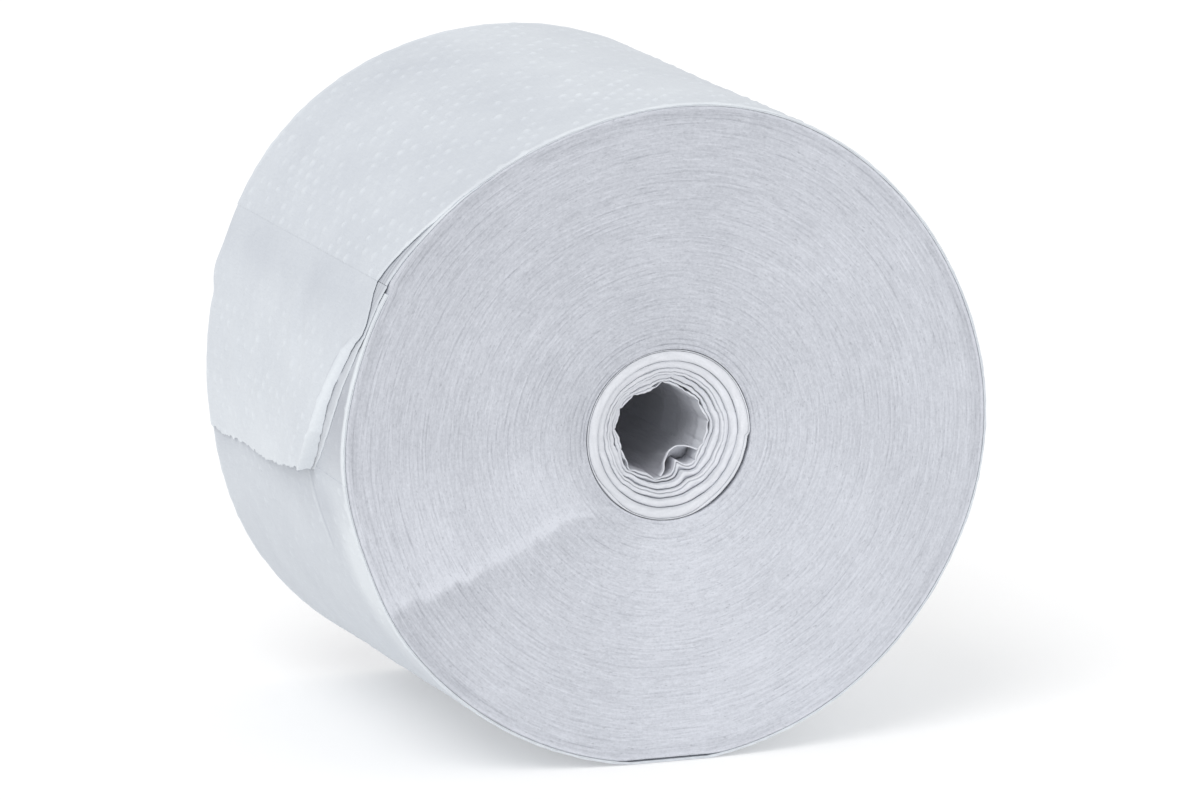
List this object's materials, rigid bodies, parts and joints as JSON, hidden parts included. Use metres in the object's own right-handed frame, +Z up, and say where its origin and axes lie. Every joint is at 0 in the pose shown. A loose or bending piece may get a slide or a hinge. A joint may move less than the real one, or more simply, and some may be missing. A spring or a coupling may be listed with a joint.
{
  "type": "tissue roll",
  "caption": "Wide coreless centre-pull roll of white embossed paper, wound flat-ended, with an open bore lined by loose crinkled turns and a short loose tail on its side.",
  "frame": {"origin": "middle of the flat strip on which the roll lies", "axes": "+Z up, from the resting strip to the roll's axis; the roll's axis runs along Y, with the front end face towards -Y; the loose tail is on the -X side"},
  "size_m": [0.1934, 0.135, 0.1888],
  "materials": {
    "end_face": "cut edges of many wound turns, matt, fine grooves",
    "embossed_web": "soft embossed two-ply tissue, matt",
    "loose_web": "crinkled loose tissue, matt"
  },
  "bodies": {
    "roll": {"wound_body": "end_face", "outer_sheet_1": "embossed_web", "outer_sheet_2": "embossed_web", "outer_sheet_3": "embossed_web", "outer_sheet_4": "embossed_web"},
    "tail": {"tail_inner_ply": "embossed_web", "tail_outer_ply": "embossed_web"},
    "innermost_turn": {"core_turn_5": "loose_web", "inner_end": "loose_web"},
    "fourth_turn": {"core_turn_4": "loose_web"},
    "third_turn": {"core_turn_3": "loose_web"},
    "second_turn": {"core_turn_2": "loose_web"},
    "first_turn": {"core_turn_1": "loose_web"}
  },
  "joints": [
    {"name": "tail_lift", "type": "hinge", "parent": "roll", "child": "tail", "pos_m": [-0.08227, 0, 0.1413], "axis": [0, 1, 0], "range_deg": [0, 110]},
    {"name": "centre_pull", "type": "slide", "parent": "roll", "child": "innermost_turn", "axis": [0, -1, 0], "range_m": [0, 0.06]},
    {"name": "turn_4_slide", "type": "slide", "parent": "roll", "child": "fourth_turn", "axis": [0, -1, 0], "range_m": [0, 0.048]},
    {"name": "turn_3_slide", "type": "slide", "parent": "roll", "child": "third_turn", "axis": [0, -1, 0], "range_m": [0, 0.036]},
    {"name": "turn_2_slide", "type": "slide", "parent": "roll", "child": "second_turn", "axis": [0, -1, 0], "range_m": [0, 0.024]},
    {"name": "turn_1_slide", "type": "slide", "parent": "roll", "child": "first_turn", "axis": [0, -1, 0], "range_m": [0, 0.012]}
  ],
  "couplings": [
    {"joint": "turn_4_slide", "follows": "centre_pull", "ratio": 0.8},
    {"joint": "turn_3_slide", "follows": "centre_pull", "ratio": 0.6},
    {"joint": "turn_2_slide", "follows": "centre_pull", "ratio": 0.4},
    {"joint": "turn_1_slide", "follows": "centre_pull", "ratio": 0.2}
  ]
}
